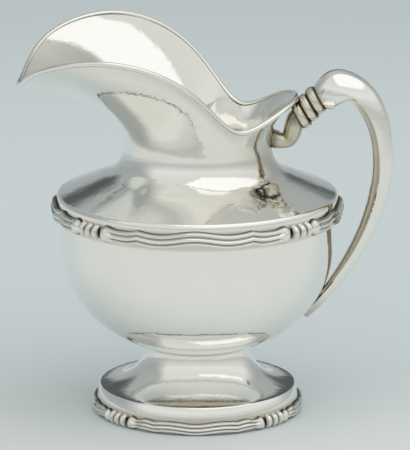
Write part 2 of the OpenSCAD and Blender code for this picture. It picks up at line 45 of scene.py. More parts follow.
# Bowl, in millimetres
BOWL_R = 40.0
BOWL_H = 41.8
BOWL_ROUND_H = 35.3
BOWL_BASE_R = 15.6
BOWL_FULLNESS = 2.5
BOWL_WALL = 1.0
# Shoulder and neck
SHEET_WALL = 0.9
SKIRT_LAP = 2.8
BAND_H = 1.9
SKIRT_WALL = 0.7
SHOULDER_EDGE_R = 1.5
SHOULDER_RISE = math.radians(22.0)
NECK_R = 21.5
NECK_CURVE_R = 9.0
# Lip stations: angle from the rear tip, overhang beyond the neck, height above the neck
LIP_STATIONS = (
    (0, 7.8, 14.9), (30, 6.2, 12.5), (57, 2.1, 8.8), (90, 8.0, 21.0),
    (125, 22.9, 32.2), (152, 30.5, 26.2), (180, 30.9, 17.9))
LIP_TIP_POINT = 0.15
# How late the wall turns out into the lip: angle from the rear tip, power of its curve
LIP_FLARES = ((0, 2.5), (57, 1.25), (90, 1.25), (125, 1.6), (180, 3.4))
# How far the wall turns up again towards its edge, like a bell: angle from the rear tip, share
LIP_BELLS = ((0, 0.0), (57, 0.0), (90, 0.0), (125, 0.75), (152, 0.3), (180, 0.0))
RIM_WIRE_R = 0.75
# Girdle border
GIRDLE_HALF_H = 2.15
GIRDLE_DEPTH = 1.75
GIRDLE_DIP = 1.1
GIRDLE_RIB_R = 2.25
GIRDLE_RIB_PITCH = 2.6
GIRDLE_DROP = 1.25
GIRDLE_TIE_TURN = math.radians(46.5)
# Foot and its border
FOOT_H = 19.9
FOOT_STEM_R = 15.2
FOOT_DISH_R = 28.3
FOOT_DISH_UP = 7.8
FOOT_BAND_OUT = 1.0
FOOT_WALL = 1.0
FOOT_DISH_BEVEL = 0.3
FOOT_SWEEP_INSIDE = math.radians(82.0)
FOOT_REED_HALF_H = 1.65
FOOT_REED_DEPTH = 1.6
FOOT_DIP = 0.55
FOOT_RIB_R = 2.0
FOOT_RIB_PITCH = 2.35
FOOT_TIE_TURN = math.radians(48.5)
# Handle
RING_TILT = math.radians(30.0)
RING_R = 4.3
RING_H = 2.8
RING_EDGE_R = 2.0
RING_STEP = 0.8
RING_SHIFT = 1.4
BULB_OUT = 8.4
BULB_UP = 0.1
BULB_START_D = 7.1
BULB_D = 11.4
BULB_CROWN = 7.0
BULB_BELLY = 4.8
BULB_PULL = 3.6
STRAP_W = 7.3
STRAP_DEPTH = 5.1
STRAP_TIP_W = 1.8
STRAP_TIP_DEPTH = 2.0
STRAP_TIP_UP = 8.6
STRAP_TWIST = math.radians(17.0)
STRAP_START_PULL = 15.0
STRAP_END_PULL = 37.0
STRAP_START_A = math.radians(-35.0)
STRAP_END_A = math.radians(46.0)
CHANNEL_SHARE = 0.5
CHANNEL_RIM = 0.7
HOOK_D = 4.3
HOOK_SEAT_UP = 2.3
HOOK_OUT = np.array((6.6, -2.2))
HOOK_BACK = np.array((-2.4, -5.6))
SEAM = 0.05

# Tarnish of the insides, of soldered seams, and its height beside a seam
INSIDE_TONE = 0.03
SEAM_TONE = 0.7
SEAM_TARNISH_H = 0.8

# Heights and radii that follow
BOWL_Z = FOOT_H
BOWL_TOP_Z = BOWL_Z + BOWL_H
BOWL_ROUND_Z = BOWL_Z + BOWL_ROUND_H
BOWL_IN_R = BOWL_R - BOWL_WALL
BAND_R = BOWL_R + SEAM + SKIRT_WALL
BAND_TOP_Z = BOWL_TOP_Z + BAND_H
CONE_R = BAND_R - SHOULDER_EDGE_R * (1 - math.sin(SHOULDER_RISE))
CONE_Z = BAND_TOP_Z + SHOULDER_EDGE_R * math.cos(SHOULDER_RISE)
FILLET_R = NECK_R + NECK_CURVE_R * (1 - math.sin(SHOULDER_RISE))
FILLET_Z = CONE_Z + (CONE_R - FILLET_R) * math.tan(SHOULDER_RISE)
NECK_Z = FILLET_Z + NECK_CURVE_R * math.cos(SHOULDER_RISE)
GIRDLE_Z = BOWL_TOP_Z - GIRDLE_DROP
FOOT_BAND_R = FOOT_DISH_R + FOOT_BAND_OUT
FOOT_TIE_Z = FOOT_RIB_R + SEAM
WIRE_SEAT = math.sqrt(RIM_WIRE_R ** 2 - (SHEET_WALL / 2) ** 2)


def ease(t):
    c = np.clip(t, 0.0, 1.0)
    return c * c * (3 - 2 * c)


def ease_rate(t):
    return 6 * t * (1 - t)


def heading(a):
    return np.array((math.cos(a), math.sin(a)))


def inward(way):
    """Direction a quarter turn left of way; works on one [r, z] pair or on rows of them."""
    return np.stack((-way[..., 1], way[..., 0]), axis=-1)


def smooth_curve(stations, first, last):
    """Cubic spline through [x, y] stations with given end slopes, as a function of x."""
    x, y = np.array(stations, dtype=float).T
    h = np.diff(x)
    rise = np.diff(y)
    n = len(x)
    rows = np.zeros((n, n))
    right = np.zeros(n)
    rows[0, 0] = rows[-1, -1] = 1
    right[0], right[-1] = first, last
    for i in range(1, n - 1):
        rows[i, i - 1] = 1 / h[i - 1]
        rows[i, i] = 2 / h[i - 1] + 2 / h[i]
        rows[i, i + 1] = 1 / h[i]
        right[i] = 3 * (rise[i - 1] / h[i - 1] ** 2 + rise[i] / h[i] ** 2)
    slope = np.linalg.solve(rows, right)

    def at(q):
        q = np.asarray(q, dtype=float)
        i = np.clip(np.searchsorted(x, q, side="right") - 1, 0, n - 2)
        t = (q - x[i]) / h[i]
        return ((2 * t ** 3 - 3 * t ** 2 + 1) * y[i] + (t ** 3 - 2 * t ** 2 + t) * h[i] * slope[i]
                + (3 * t ** 2 - 2 * t ** 3) * y[i + 1] + (t ** 3 - t ** 2) * h[i] * slope[i + 1])
    return at


def bezier(p, t):
    return ((1 - t) ** 3 * p[0] + 3 * t * (1 - t) ** 2 * p[1] + 3 * t ** 2 * (1 - t) * p[2] + t ** 3 * p[3])


def bezier_way(p, t):
    d = (1 - t) ** 2 * (p[1] - p[0]) + 2 * t * (1 - t) * (p[2] - p[1]) + t ** 2 * (p[3] - p[2])
    return d / np.linalg.norm(d)


# Edges sharper than this stay crisp on plain pieces, on reeds and on ties
SHARP_EDGE = math.radians(38.0)
SHARP_REED = math.radians(75.0)
SHARP_TIE = math.radians(50.0)


def skin(name, rows, loop_u, loop_v, tone, sharp=SHARP_EDGE):
    """Closed mesh over a grid of points in millimetres. An open direction is capped at both ends."""
    rows = np.asarray(rows, dtype=float) * MM
    nu, nv = rows.shape[:2]
    index = np.arange(nu * nv).reshape(nu, nv)
    u = index if not loop_u else np.vstack((index, index[:1]))
    u = u if not loop_v else np.hstack((u, u[:, :1]))
    quads = np.stack((u[:-1, :-1], u[1:, :-1], u[1:, 1:], u[:-1, 1:]), axis=-1).reshape(-1, 4)
    points = rows.reshape(-1, 3)
    a, b, c, d = (points[quads[:, k]] for k in range(4))
    volume = np.sum(np.cross(a, b) * c) + np.sum(np.cross(a, c) * d)
    caps = []
    if loop_u and not loop_v:
        caps = [index[::-1, 0], index[:, -1]]
    if loop_v and not loop_u:
        caps = [index[0], index[-1, ::-1]]
    for cap in caps:
        fan = points[cap]
        volume += np.sum(np.cross(fan[1:-1], fan[2:]) @ fan[0])
    faces = [tuple(f) for f in quads.tolist() + [cap.tolist() for cap in caps]]
    if volume < 0:
        faces = [f[::-1] for f in faces]
    mesh = bpy.data.meshes.new(name)
    mesh.from_pydata(points.tolist(), [], faces)
    mesh.update()
    mesh.shade_smooth()
    mesh.set_sharp_from_angle(angle=sharp)
    layer = mesh.attributes.new("tone", "FLOAT", "POINT")
    values = np.broadcast_to(tone, (nu, nv)).reshape(-1)
    layer.data.foreach_set("value", np.ascontiguousarray(values, dtype=np.float32))
    piece = bpy.data.objects.new(name, mesh)
    bpy.context.scene.collection.objects.link(piece)
    return piece


def turned(profile, angles):
    """Grid of points of one [r, z] profile at each angle, or of one profile per angle."""
    profile = np.asarray(profile, dtype=float)
    if profile.ndim == 2:
        profile = np.broadcast_to(profile, (len(angles),) + profile.shape)
    c, s = np.cos(angles)[:, None], np.sin(angles)[:, None]
    return np.stack((profile[..., 0] * c, profile[..., 0] * s, profile[..., 1]), axis=-1)


def full_turn(n):
    return np.arange(n) * 2 * math.pi / n


# Bowl
BOWL_SIDES = 240
BOWL_ROWS = 70
BOWL_CROWDING = 1.4
BASE_CAP_R = 3.0


def bowl_radius(z, inset=0.0):
    full_r = BOWL_R - inset
    drop = np.clip((BOWL_ROUND_Z - np.asarray(z)) / (BOWL_ROUND_H - inset), 0, 1)
    closing = 1 - (BOWL_BASE_R / full_r) ** 2
    return full_r * np.sqrt(1 - closing * drop ** BOWL_FULLNESS)


# Painted shade under the girdle: drop below the bowl's top edge where it begins and where it is full, how
# dark
UNDER_GIRDLE = (4.9, 4.2)
UNDER_GIRDLE_SHADE = 0.3


def bowl_skin(inset):
    low = BOWL_Z + inset
    z = low + (BOWL_ROUND_H - inset) * np.linspace(0, 1, BOWL_ROWS) ** BOWL_CROWDING
    z = np.concatenate((z, BOWL_TOP_Z - np.array(UNDER_GIRDLE), [BOWL_TOP_Z]))
    wall = np.stack((bowl_radius(z, inset), z), axis=-1)
    return np.vstack(([[BASE_CAP_R, low]], wall))


def make_bowl():
    outside, inside = bowl_skin(0.0), bowl_skin(BOWL_WALL)[::-1]
    z = outside[:, 1]
    # Painted shade: the bowl darkens in a band just under the girdle's reeds
    girdle = ease((UNDER_GIRDLE[0] - (BOWL_TOP_Z - z)) / (UNDER_GIRDLE[0] - UNDER_GIRDLE[1]))
    seam = 1 - ease((z - BOWL_Z) / SEAM_TARNISH_H)
    tone = np.concatenate((UNDER_GIRDLE_SHADE * girdle + SEAM_TONE * seam, np.full(len(inside), INSIDE_TONE)))
    return skin("bowl_skin", turned(np.vstack((outside, inside)), full_turn(BOWL_SIDES)), True, False, tone)


# Upper body: shoulder, neck and lip
LIP_SIDES = 480
LIP_ROWS = 44
FILLET_ROWS = 24
EDGE_ROWS = 8
lip_out = smooth_curve([(a, out) for a, out, up in LIP_STATIONS], 0.0, LIP_TIP_POINT)
lip_up = smooth_curve([(a, up) for a, out, up in LIP_STATIONS], 0.0, 0.0)
LIP_ANGLES = full_turn(LIP_SIDES)
LIP_DEGREES = np.abs(np.degrees(np.where(LIP_ANGLES > math.pi, LIP_ANGLES - 2 * math.pi, LIP_ANGLES)))
OUT = lip_out(LIP_DEGREES)
UP = lip_up(LIP_DEGREES)
FLARE = smooth_curve(LIP_FLARES, 0.0, 0.0)(LIP_DEGREES)
BELL = smooth_curve(LIP_BELLS, 0.0, 0.0)(LIP_DEGREES)
LIP_EDGE = 1 - (RIM_WIRE_R + WIRE_SEAT) / np.hypot(OUT * (1 - BELL) * FLARE, UP)


def lip_point(t):
    share = (1 - BELL) * t ** FLARE + BELL * ease(t)
    return np.stack((NECK_R + OUT * share, NECK_Z + UP * t), axis=-1)


def lip_way(t):
    rate = (1 - BELL) * FLARE * t ** (FLARE - 1) + BELL * ease_rate(t)
    d = np.stack((OUT * rate, UP * np.ones_like(t)), axis=-1)
    return d / np.linalg.norm(d, axis=-1, keepdims=True)


def lip_wall(inset):
    """Rows of the lip's wall from above the neck to its edge, for every angle: [angle, row, r and z]."""
    rows = []
    for share in np.linspace(0, 1, LIP_ROWS)[1:]:
        t = share * LIP_EDGE
        rows.append(lip_point(t) + inward(lip_way(t)) * inset)
    return np.stack(rows, axis=1)


def fillet_arc(gap):
    b = (math.pi / 2 - SHOULDER_RISE) * (1 - np.linspace(0, 1, FILLET_ROWS))
    r = NECK_CURVE_R + gap
    return np.stack((NECK_R + NECK_CURVE_R - r * np.cos(b), NECK_Z - r * np.sin(b)), axis=-1)


def edge_arc():
    b = (math.pi / 2 - SHOULDER_RISE) * np.linspace(0, 1, EDGE_ROWS)
    r = BAND_R - SHOULDER_EDGE_R * (1 - np.cos(b))
    return np.stack((r, BAND_TOP_Z + SHOULDER_EDGE_R * np.sin(b)), axis=-1)


def cone_under(r):
    return CONE_Z + (CONE_R - r) * math.tan(SHOULDER_RISE) - SHEET_WALL / math.cos(SHOULDER_RISE)


# Painted shade over the girdle: height above the bowl's top edge up to which it is full and where it ends,
# how dark
OVER_GIRDLE = (0.7, 1.5)
OVER_GIRDLE_SHADE = 0.4
# Painted shade on the neck round the hook's root: how dark, how far round in degrees, how far up and down
ROOT_SHADE = 0.7
ROOT_TURN = 70.0
ROOT_REACH = 14.0
# Painted shade under the rim wire: how dark, how far down the wall, and where round the lip in degrees
RIM_SHADE = 0.3
RIM_SHADE_H = 4.5
RIM_SHADE_AT = 80.0
RIM_SHADE_TURN = 65.0


def make_upper_body():
    def all_round(points):
        points = np.asarray(points, dtype=float)
        return np.broadcast_to(points, (LIP_SIDES,) + points.shape)
    skirt_low = BOWL_TOP_Z - SKIRT_LAP
    skirt_r = BOWL_R + SEAM
    outside = np.concatenate((
        all_round([[BAND_R, skirt_low]] + [[BAND_R, BOWL_TOP_Z + up] for up in OVER_GIRDLE]),
        all_round(edge_arc()),
        all_round(fillet_arc(0.0)),
        lip_wall(0.0)), axis=1)
    inside = np.concatenate((
        lip_wall(SHEET_WALL)[:, ::-1],
        all_round(fillet_arc(SHEET_WALL)[::-1]),
        all_round([[BOWL_IN_R, cone_under(BOWL_IN_R)], [BOWL_IN_R, BOWL_TOP_Z],
                   [skirt_r, BOWL_TOP_Z], [skirt_r, skirt_low]])), axis=1)
    above = outside[0, :, 1] - BOWL_TOP_Z
    # Painted shade: a band of the skirt just over the girdle darkens
    over_girdle_shade = 1 - ease((above - OVER_GIRDLE[0]) / (OVER_GIRDLE[1] - OVER_GIRDLE[0]))
    # Painted shade: the neck darkens round the hook's root
    round_root = 1 - ease(LIP_DEGREES / ROOT_TURN)
    beside_root = 1 - ease(np.abs(outside[..., 1] - NECK_Z - HOOK_SEAT_UP) / ROOT_REACH)
    # Painted shade: a band of the lip's wall just under the rim wire darkens
    below_rim = np.linalg.norm(outside - outside[:, -1:], axis=-1)
    along_rim = 1 - ease(np.abs(LIP_DEGREES - RIM_SHADE_AT) / RIM_SHADE_TURN)
    under_rim = along_rim[:, None] * (1 - ease(below_rim / RIM_SHADE_H))
    root_shade = round_root[:, None] * beside_root
    outside_tone = np.maximum(OVER_GIRDLE_SHADE * over_girdle_shade, ROOT_SHADE * root_shade)
    outside_tone = np.maximum(outside_tone, RIM_SHADE * under_rim)
    tone = np.concatenate((outside_tone, np.full(inside.shape[:2], INSIDE_TONE)), axis=1)
    section = np.concatenate((outside, inside), axis=1)
    return skin("upper_body_skin", turned(section, LIP_ANGLES), True, True, tone)


# Wire on the lip's edge
WIRE_SIDES = 16
# Tarnish where the wire meets the sheet: how dark, and the turn round the wire from which it grows
WIRE_TONE = 0.65
WIRE_TONE_START = 1.7
WIRE_TONE_SPAN = 0.6


def wire_centres():
    way = lip_way(LIP_EDGE)
    return lip_point(LIP_EDGE) + inward(way) * SHEET_WALL / 2 + way * WIRE_SEAT


def make_rim_wire():
    mouth = math.asin(SHEET_WALL / 2 / RIM_WIRE_R)
    way = lip_way(LIP_EDGE)
    b = (math.pi - mouth) * np.linspace(-1, 1, WIRE_SIDES)
    round_wire = (np.cos(b)[None, :, None] * way[:, None] + np.sin(b)[None, :, None] * inward(way)[:, None])
    section = wire_centres()[:, None] + RIM_WIRE_R * round_wire
    tone = WIRE_TONE * ease((np.abs(b) - WIRE_TONE_START) / WIRE_TONE_SPAN)
    return skin("rim_wire_skin", turned(section, LIP_ANGLES), True, True, tone)


# Foot
FOOT_SIDES = 240
FOOT_ROWS = 48
# Share of the band over the foot's border that is tarnished, and how dark
FOOT_TARNISH = 0.3
FOOT_EDGE_TONE = 0.5


def make_foot():
    sweep_r = FOOT_DISH_R - FOOT_STEM_R
    sweep_h = FOOT_H - FOOT_DISH_UP
    border_top = 2 * FOOT_TIE_Z

    def sweep(inset, end):
        b = np.linspace(0, end, FOOT_ROWS)
        r = FOOT_DISH_R - (sweep_r + inset) * np.cos(b)
        return np.stack((r, FOOT_H - (sweep_h + inset) * np.sin(b)), axis=-1)
    bevel = np.array((FOOT_DISH_R + FOOT_DISH_BEVEL, FOOT_DISH_UP - FOOT_DISH_BEVEL))
    border = np.array((FOOT_BAND_R, border_top))
    outside = np.vstack((
        sweep(0.0, math.pi / 2),
        [bevel, border + (bevel - border) * FOOT_TARNISH, border, [FOOT_BAND_R, 0]]))
    inside = np.vstack((
        [[FOOT_BAND_R - FOOT_WALL, 0], [FOOT_BAND_R - FOOT_WALL, border_top]],
        sweep(FOOT_WALL, FOOT_SWEEP_INSIDE)[::-1]))
    seam = 1 - ease((FOOT_H - outside[:, 1]) / SEAM_TARNISH_H)
    edge = np.where(outside[:, 1] <= border_top, 1.0, 0.0)
    tone = np.concatenate((SEAM_TONE * seam + FOOT_EDGE_TONE * edge, np.full(len(inside), INSIDE_TONE)))
    return skin("foot_skin", turned(np.vstack((outside, inside)), full_turn(FOOT_SIDES)), True, True, tone)


# Reed-and-tie borders
QUARTER = math.pi / 2
TIE_HALF_SPAN = 1.5
KNOB_GAP = math.radians(0.3)
# Wave of a reed's middle line: places along its half length, then heights as shares of the dip
DIP_A = 5 / 14
CUSP = 8 / 14
DIP_B = 10 / 14
CUSP_SHARE = 0.4
GIRDLE_END_SHARE = 0.65
FOOT_END_SHARE = 0.0
GIRDLE_MID_SHARE = 0.5
# A reed narrows, then swells into a round knob at its end
PINCH_START = 0.7
KNOB_START = 0.83
KNOB_ROUND = 0.925
KNOB_SWELL = 0.16
GIRDLE_PINCH = 0.05
FOOT_PINCH = 0.2
KNOB_CLOSES = 0.995
REED_STEPS = 90
REED_SIDES = 41
# Strands of a reed bundle: middle, half width and height, as shares of its half height and depth
STRANDS = ((-0.66, 0.34, 0.82), (0.0, 0.37, 1.0), (0.66, 0.34, 0.8))
GROOVE_FLOOR = 0.35
# Rows crowd towards a reed's ends by this power; tarnish grows down into its grooves
REED_CROWDING = 0.9
GROOVE_TONE = 1.15
GROOVE_POWER = 1.7


def wave(share, end_share):
    b = np.abs(share)
    climb = 1 - CUSP_SHARE
    first = -(1 - np.cos(np.pi * b / DIP_A)) / 2
    rise = -1 + climb * (1 - np.cos(np.pi / 2 * (b - DIP_A) / (CUSP - DIP_A)))
    fall = -1 + climb * (1 - np.cos(np.pi / 2 * (DIP_B - b) / (DIP_B - CUSP)))
    last = -1 + (1 - end_share) * ease((b - DIP_B) / (1 - DIP_B))
    return np.where(b < DIP_A, first, np.where(b < CUSP, rise, np.where(b < DIP_B, fall, last)))


def knob(share, pinch):
    b = np.abs(share)
    past = np.clip((b - KNOB_ROUND) / (1 - KNOB_ROUND), 0, 1)
    narrow = pinch * ease((b - PINCH_START) / (KNOB_START - PINCH_START))
    swell = (pinch + KNOB_SWELL) * ease((b - KNOB_START) / (KNOB_ROUND - KNOB_START))
    return (1 - narrow + swell) * np.sqrt(1 - KNOB_CLOSES * past ** 2)


def reed_end(seat_r, pitch, tie_turn, i):
    half_turn = tie_turn if i % 2 == 0 else QUARTER - tie_turn
    return half_turn - TIE_HALF_SPAN * pitch / seat_r - KNOB_GAP


def tie_angle(tie_turn, i):
    return (1 if i < 3 else 3) * QUARTER + (tie_turn if i % 2 == 0 else -tie_turn)


def make_reed(name, i, seat_r, end, half_h, depth, pinch, middle):
    """One reed bundle; middle gives the height of its middle line at each share of its half length."""
    ramp = np.linspace(0, 1, REED_STEPS)
    half = np.sin(ramp * np.pi / 2) ** REED_CROWDING
    share = np.concatenate((-half[:0:-1], half))
    u = -np.cos(np.linspace(0, np.pi, REED_SIDES))
    strands = np.zeros(REED_SIDES)
    for mid, width, height in STRANDS:
        strands = np.maximum(strands, height * np.sqrt(np.clip(1 - ((u - mid) / width) ** 2, 0, 1)))
    inner = np.abs(u) < STRANDS[-1][0]
    strands = np.where(inner, np.maximum(strands, GROOVE_FLOOR), strands)
    round_end = np.sqrt(np.clip(1 - u ** 2, 0, 1))
    merge = ease((np.abs(share) - KNOB_START) / (KNOB_ROUND - KNOB_START))[:, None]
    bulge = strands * (1 - merge) + round_end * merge
    size = knob(share, pinch)[:, None]
    r = seat_r + SEAM + depth * size * bulge
    z = middle(share)[:, None] + half_h * size * u
    angle = (i - 1) * QUARTER + share * end
    c, s = np.cos(angle)[:, None], np.sin(angle)[:, None]
    rows = np.stack((r * c, r * s, z), axis=-1)
    tone = np.clip(GROOVE_TONE * (1 - bulge), 0, 1) ** GROOVE_POWER
    return skin(name, rows, False, True, tone, SHARP_REED)


TIE_STEPS = 121
TIE_SIDES = 25
RIB_FILL = 0.86
# Backing between the ribs: radius as a share of theirs, then half lengths of backing and tie in ribs
BACKING_R = 0.55
BACKING_SPAN = 1.3
TIE_REACH = 1.45
TIE_END_R = 0.02
RIB_TONE = 1.6


def make_tie(name, turn, seat_r, pitch, rib_r, mid_z):
    """Ribs that tie two reed lengths, lofted along the border as one string of half discs."""
    along = np.linspace(-TIE_REACH, TIE_REACH, TIE_STEPS) * pitch
    half = pitch * RIB_FILL / 2
    radius = np.where(np.abs(along) < BACKING_SPAN * pitch, BACKING_R * rib_r, TIE_END_R)
    for k in (-1, 0, 1):
        edge = np.sqrt(np.clip(half ** 2 - (along - k * pitch) ** 2, 0, None))
        radius = np.maximum(radius, np.where(edge > 0, rib_r - half + edge, 0))
    b = np.linspace(-np.pi / 2, np.pi / 2, TIE_SIDES)
    r = seat_r + SEAM + radius[:, None] * np.cos(b)
    z = mid_z + radius[:, None] * np.sin(b)
    angle = turn + along / seat_r
    c, s = np.cos(angle)[:, None], np.sin(angle)[:, None]
    rows = np.stack((r * c, r * s, z), axis=-1)
    tone = np.clip(RIB_TONE * (1 - radius / rib_r), 0, 1)[:, None]
    return skin(name, rows, False, True, tone, SHARP_TIE)


# Handle
RING_WAY = heading(RING_TILT)
REAR_WIRE = wire_centres()[0]
RING_DROP = RING_R - RING_EDGE_R + math.sqrt((RING_EDGE_R + RIM_WIRE_R + SEAM) ** 2 - RING_SHIFT ** 2)
RING_MID = REAR_WIRE - inward(RING_WAY) * RING_DROP + RING_WAY * RING_SHIFT
RING_SIDES = 72
RING_ROWS = 17
RING_CAP_R = 0.5
# Tarnish between the rings: how dark, how steeply it grows to their faces, and the clean share in between
RING_TONE = 1.5
RING_TONE_POWER = 3
RING_CLEAN = 0.1


def ring_centre(i):
    return RING_MID + (i - 2) * (RING_WAY * RING_H + inward(RING_WAY) * RING_STEP)


def make_ring(i):
    half = RING_H / 2
    edge = half * np.sin(np.linspace(-np.pi / 2, np.pi / 2, RING_ROWS))
    rim = RING_R - RING_EDGE_R + np.sqrt(RING_EDGE_R ** 2 - edge ** 2)
    radius = np.concatenate(([RING_CAP_R], rim, [RING_CAP_R]))
    along = np.concatenate(([-half], edge, [half]))
    turn = full_turn(RING_SIDES)
    at = ring_centre(i)
    side = inward(RING_WAY)
    x = at[0] + along * RING_WAY[0] + np.cos(turn)[:, None] * radius * side[0]
    z = at[1] + along * RING_WAY[1] + np.cos(turn)[:, None] * radius * side[1]
    y = np.sin(turn)[:, None] * radius
    tone = np.clip(RING_TONE * (np.abs(along) / half) ** RING_TONE_POWER - RING_CLEAN, 0, 1)
    return skin("handle_ring_skin_%d" % i, np.stack((x, y, z), axis=-1), True, False, tone)


def section_points(at, way, b, n, twist):
    """Points of a handle section: b across the handle, n outwards from its curve."""
    across = b * math.cos(twist) + n * math.sin(twist)
    outwards = n * math.cos(twist) - b * math.sin(twist)
    p = at + inward(way) * outwards[:, None]
    return np.stack((p[:, 0], across, p[:, 1]), axis=-1)


def clear_of(points, radius):
    away = np.hypot(points[:, 0], points[:, 1])
    grow = np.maximum(1, (radius + SEAM) / away)
    return points * np.stack((grow, grow, np.ones_like(grow)), axis=-1)


def neck_outside(z):
    drop = np.clip(NECK_CURVE_R ** 2 - (NECK_Z - z) ** 2, 0, None)
    below = NECK_R + NECK_CURVE_R - np.sqrt(drop)
    rise = np.clip((z - NECK_Z) / LIP_STATIONS[0][2], 0, None)
    above = NECK_R + LIP_STATIONS[0][1] * rise ** LIP_FLARES[0][1]
    return np.where(z < NECK_Z, below, above)


HOOK_ROWS = 60
HOOK_SIDES = 40
# The hook thickens along its run and spreads at its root
HOOK_SWELL = 0.28
HOOK_SWELLS = (0.25, 0.8)
HOOK_ROOT = 0.25
HOOK_ROOT_END = 0.25
# Tarnish of the hook all over, near the rings and at the neck, with the shares of its run that these take
HOOK_TONE = 0.1
HOOK_RING_TONE = 0.4
HOOK_RING_SPAN = 0.2
HOOK_NECK_TONE = 0.5
HOOK_NECK_SPAN = 0.15


def make_hook():
    seat_z = NECK_Z + HOOK_SEAT_UP
    seat = np.array((float(neck_outside(np.array(seat_z))), seat_z))
    end = ring_centre(1) - RING_WAY * RING_H / 2
    path = (seat, seat + HOOK_OUT, end + HOOK_BACK, end)
    b = full_turn(HOOK_SIDES)
    rows = []
    for t in np.linspace(0, 1, HOOK_ROWS):
        swell = ease((t - HOOK_SWELLS[0]) / (HOOK_SWELLS[1] - HOOK_SWELLS[0]))
        root = 1 - ease(t / HOOK_ROOT_END)
        half = HOOK_D / 2 * (1 + HOOK_SWELL * swell + HOOK_ROOT * root)
        at = seat - np.array((SHEET_WALL, 0)) if t == 0 else bezier(path, t)
        way = RING_WAY if t == 1 else bezier_way(path, t)
        points = section_points(at, way, half * np.cos(b), half * np.sin(b), 0.0)
        rows.append(clear_of(points, neck_outside(points[:, 2])))
    t = np.linspace(0, 1, HOOK_ROWS)[:, None]
    tone = (HOOK_TONE + HOOK_RING_TONE * ease((t - 1 + HOOK_RING_SPAN) / HOOK_RING_SPAN)
            + HOOK_NECK_TONE * ease((HOOK_NECK_SPAN - t) / HOOK_NECK_SPAN))
    return skin("handle_hook_skin", rows, False, True, tone)


BULB_ROWS = 40
STRAP_ROWS = 150
OUTER_SIDES = 36
INNER_SIDES = 36
# Shares of the run at which the strap tapers and its channel opens, and powers of the curves
TAPER_START = 0.38
TAPER_POWER = 0.6
BULB_GROWS = 1.6
BELLY_GROWS = 4
HEEL_POWER = 5.2
CHANNEL_OPENS = 0.12
RIM_SHARE = 0.4
RIM_STEP = 0.01
# Tarnish of the bulb at the rings, of the channel and of the strap's tip, and the shares of the run they take
BULB_TONE = 0.7
BULB_TONE_SPAN = 0.12
CHANNEL_TONE = 0.9
CHANNEL_TONE_POWER = 0.5
TIP_TONE = 0.5
TIP_TONE_SPAN = 0.1


def handle_section(at, way, half_w, out, into, twist):
    b = np.linspace(0, np.pi, OUTER_SIDES)
    outer = section_points(at, way, half_w * np.cos(b), out * np.sin(b), twist)
    b = np.linspace(0, np.pi, INNER_SIDES)
    rim = min(CHANNEL_RIM, RIM_SHARE * half_w) * ease(-into / CHANNEL_RIM)
    inner = section_points(at, way, -(half_w - rim) * np.cos(b), -into * np.sin(b) - RIM_STEP, twist)
    return np.vstack((outer, inner))


def bulb_part(full, t, grows):
    start = BULB_START_D / 2
    return start + (full - start) * math.sin(math.pi / 2 * min(1, grows * t))


def taper(t):
    return 1.0 if t < TAPER_START else (1 - (t - TAPER_START) / (1 - TAPER_START)) ** TAPER_POWER


def strap_half_w(t):
    full = BULB_D / 2 + (STRAP_W - BULB_D) / 2 * ease(t / TAPER_START)
    return STRAP_TIP_W / 2 + (full - STRAP_TIP_W / 2) * taper(t)


def strap_out(t):
    full = BULB_CROWN + (STRAP_DEPTH - BULB_CROWN) * ease(t / TAPER_START)
    return STRAP_TIP_DEPTH + (full - STRAP_TIP_DEPTH) * taper(t)


def make_strap():
    bulb_at = ring_centre(3) + RING_WAY * RING_H / 2
    strap_at = bulb_at + np.array((BULB_OUT, BULB_UP))
    tip_z = BOWL_Z + STRAP_TIP_UP
    tip = np.array((float(bowl_radius(tip_z)), tip_z))
    bulb = (bulb_at, bulb_at + RING_WAY * BULB_PULL, strap_at - heading(STRAP_START_A) * BULB_PULL, strap_at)
    strap = (strap_at, strap_at + heading(STRAP_START_A) * STRAP_START_PULL,
             tip + heading(STRAP_END_A) * STRAP_END_PULL, tip)
    rows = []
    tones = []
    across = np.sin(np.linspace(0, np.pi, INNER_SIDES)) ** CHANNEL_TONE_POWER
    hollow = np.concatenate((np.zeros(OUTER_SIDES), across))
    for t in np.linspace(0, 1, BULB_ROWS)[:-1]:
        heel = math.sqrt(1 - t ** HEEL_POWER)
        rows.append(handle_section(
            bezier(bulb, t), bezier_way(bulb, t), bulb_part(BULB_D / 2, t, BULB_GROWS),
            bulb_part(BULB_CROWN, t, BULB_GROWS), bulb_part(BULB_BELLY, t, BELLY_GROWS) * heel,
            STRAP_TWIST * ease(t)))
        near_rings = ease((BULB_TONE_SPAN - t) / BULB_TONE_SPAN)
        tones.append(np.full(len(hollow), BULB_TONE * near_rings))
    for t in np.linspace(0, 1, STRAP_ROWS):
        opening = ease(t / CHANNEL_OPENS) * ease((1 - t) / CHANNEL_OPENS)
        half_w, out = strap_half_w(t), strap_out(t)
        points = handle_section(bezier(strap, t), bezier_way(strap, t), half_w, out,
                                -CHANNEL_SHARE * out * opening, STRAP_TWIST)
        rows.append(clear_of(points, bowl_radius(points[:, 2])))
        near_tip = ease((t - 1 + TIP_TONE_SPAN) / TIP_TONE_SPAN)
        tones.append(CHANNEL_TONE * hollow * opening + TIP_TONE * near_tip)
    return skin("handle_strap_skin", rows, False, True, np.array(tones))


# Materials
def new_material(name):
    mat = bpy.data.materials.new(name)
    mat.use_nodes = True
    nodes, links = mat.node_tree.nodes, mat.node_tree.links
    return mat, nodes, links, nodes["Principled BSDF"]


def noise_node(nodes, links, coords, scale, detail, rough):
    node = nodes.new("ShaderNodeTexNoise")
    node.inputs["Scale"].default_value = scale
    node.inputs["Detail"].default_value = detail
    node.inputs["Roughness"].default_value = rough
    links.new(coords, node.inputs["Vector"])
    return node


def range_node(nodes, links, value, low, high, to_low, to_high):
    node = nodes.new("ShaderNodeMapRange")
    node.inputs["From Min"].default_value = low
    node.inputs["From Max"].default_value = high
    node.inputs["To Min"].default_value = to_low
    node.inputs["To Max"].default_value = to_high
    links.new(value, node.inputs["Value"])
    return node


